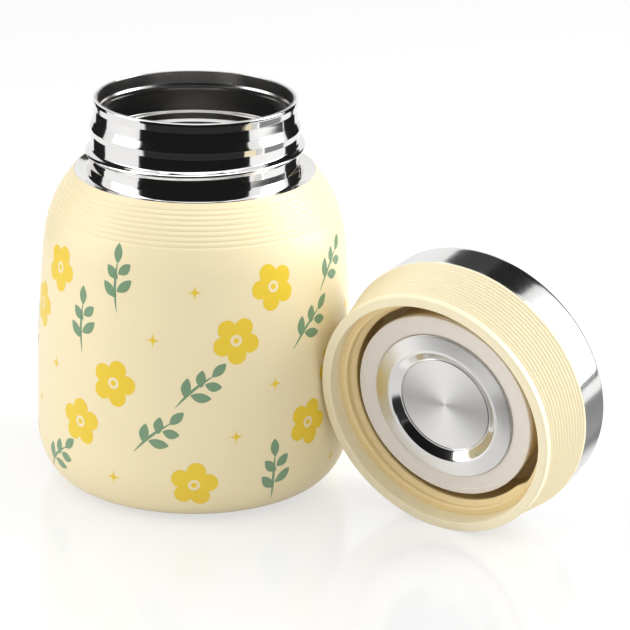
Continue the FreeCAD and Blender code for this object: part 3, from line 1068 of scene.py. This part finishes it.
def floor_material():
    """A white floor that keeps the object's shadow, with a faint polish close to the object."""
    made, graph = blank_material("white floor")
    path = graph.add("ShaderNodeLightPath")
    mirrored = Val(graph, path.outputs["Is Glossy Ray"])
    seen = graph.math("MAXIMUM", path.outputs["Is Camera Ray"], mirrored)
    x, y, _ = graph.split(graph.val("ShaderNodeTexCoord", "Object"))
    away = graph.from_axis(x, y)
    bearing = graph.math("ARCTAN2", x, y * -1.0)
    zones, dark = 0.0, 0.0
    for bearings, distances, depth in FLOOR_ZONES:
        zone = (graph.between(bearing, *[math.radians(b) for b in bearings])
                * graph.between(away, *distances))
        zones = zones + zone
        dark = dark + zone * depth
    matt = graph.add("ShaderNodeBsdfPrincipled", None, {
        "Base Color": rgba((0.9, 0.9, 0.9)), "Roughness": 0.6, "Specular IOR Level": 0.0})
    white = graph.add("ShaderNodeEmission", None, {
        "Color": 1.0 - mirrored * dark, "Strength": 1.0})
    share = seen * FLOOR_WHITE + mirrored * zones * (1.0 - FLOOR_WHITE)
    plain = graph.add("ShaderNodeMixShader", None, {
        0: share, 1: matt.outputs[0], 2: white.outputs[0]})
    polish = graph.add("ShaderNodeBsdfGlossy", None, {
        "Color": rgba((1.0, 1.0, 1.0)), "Roughness": 0.15})
    near = (1.0 - graph.smooth(away, 0.15, 0.24)) * graph.smooth(y, 0.03, -0.02) * 0.14
    glazed = graph.add("ShaderNodeMixShader", None, {
        0: near, 1: plain.outputs[0], 2: polish.outputs[0]})
    graph.add("ShaderNodeOutputMaterial", None, {"Surface": glazed.outputs[0]})
    return made


def lamp(name, place, size, power):
    data = bpy.data.lights.new(name, "AREA")
    data.shape = "RECTANGLE"
    data.size, data.size_y = size
    data.energy = power
    obj = add_object(name, data)
    obj.location = place
    obj.rotation_euler = (LAMP_AIM - Vector(place)).to_track_quat("-Z", "Y").to_euler()


def arc_card(name, start, end, radius, low, high, level):
    """A card bent round the object that only shows in reflections."""
    made, graph = blank_material(name)
    glow = graph.add("ShaderNodeEmission", None, {"Color": rgba((level, level, level))})
    graph.add("ShaderNodeOutputMaterial", None, {"Surface": glow.outputs[0]})
    verts, faces = [], []
    steps = 24
    for i in range(steps + 1):
        a = math.radians(start + (end - start) * i / steps)
        verts += [(radius * math.sin(a), -radius * math.cos(a), low),
                  (radius * math.sin(a), -radius * math.cos(a), high)]
    for v in range(0, 2 * steps, 2):
        faces.append((v, v + 2, v + 3, v + 1))
    mesh = bpy.data.meshes.new(name)
    mesh.from_pydata(verts, [], faces)
    mesh.materials.append(made)
    obj = add_object(name, mesh)
    obj.visible_camera = False
    obj.visible_diffuse = False
    obj.visible_transmission = False
    obj.visible_shadow = False


def photo_camera():
    """The camera at the photograph's place, with its yaw, pitch and roll."""
    data = bpy.data.cameras.new("camera")
    data.sensor_width = 36.0
    data.lens = FOCAL_PIXELS * data.sensor_width / PICTURE_PIXELS
    data.clip_start = 0.01
    camera = add_object("camera", data)
    look = Vector((math.sin(CAMERA_YAW) * math.cos(CAMERA_PITCH),
                   math.cos(CAMERA_YAW) * math.cos(CAMERA_PITCH), -math.sin(CAMERA_PITCH)))
    right = Vector((math.cos(CAMERA_YAW), -math.sin(CAMERA_YAW), 0.0))
    up = right.cross(look)
    c, s = math.cos(CAMERA_ROLL), math.sin(CAMERA_ROLL)
    axes = Matrix((right * c + up * s, up * c - right * s, -look)).transposed()
    camera.matrix_world = Matrix.Translation(CAMERA_PLACE) @ axes.to_4x4()
    return camera


class JAR_OT_stage(bpy.types.Operator):
    """Set the pale floor, the studio light and the camera."""
    bl_idname = "food_jar.stage"
    bl_label = "Stage"

    def execute(self, context):
        scene = context.scene
        scene.view_settings.view_transform = "Standard"
        scene.world = studio_world()
        mesh = bpy.data.meshes.new("floor")
        corners = [(-1, -1), (1, -1), (1, 1), (-1, 1)]
        mesh.from_pydata([(x * FLOOR_REACH, y * FLOOR_REACH, 0.0) for x, y in corners], [],
                         [(0, 1, 2, 3)])
        mesh.materials.append(floor_material())
        floor = add_object("floor", mesh)
        for row in LAMPS:
            lamp(*row)
        for row in CARDS:
            arc_card(*row)
        scene.camera = photo_camera()
        return {"FINISHED"}


class JAR_PT_panel(bpy.types.Panel):
    """Lists the pieces of the jar in the sidebar."""
    bl_idname = "JAR_PT_panel"
    bl_label = "Food jar"
    bl_space_type = "VIEW_3D"
    bl_region_type = "UI"
    bl_category = "Food jar"

    def draw(self, context):
        for settings in (context.scene.food_jar, context.scene.food_jar_lid):
            for name in settings.__annotations__:
                self.layout.prop(settings, name)
        for operator in OPERATORS:
            self.layout.operator(operator.bl_idname)


OPERATORS = (
    JAR_OT_stage, JAR_OT_shell, JAR_OT_print, JAR_OT_neck, JAR_OT_vessel, JAR_OT_base,
    JAR_OT_skirt, JAR_OT_cap, JAR_OT_sleeve, JAR_OT_plug, JAR_OT_hidden,
)
CLASSES = (JarSettings, LidSettings) + OPERATORS + (JAR_PT_panel,)


def register():
    for cls in CLASSES:
        bpy.utils.register_class(cls)
    bpy.types.Scene.food_jar = PointerProperty(type=JarSettings)
    bpy.types.Scene.food_jar_lid = PointerProperty(type=LidSettings)


def unregister():
    del bpy.types.Scene.food_jar_lid
    del bpy.types.Scene.food_jar
    for cls in reversed(CLASSES):
        bpy.utils.unregister_class(cls)


def main():
    register()
    for operator in OPERATORS:
        family, name = operator.bl_idname.split(".")
        getattr(getattr(bpy.ops, family), name)()
    bpy.context.view_layer.update()


if __name__ == "__main__":
    main()
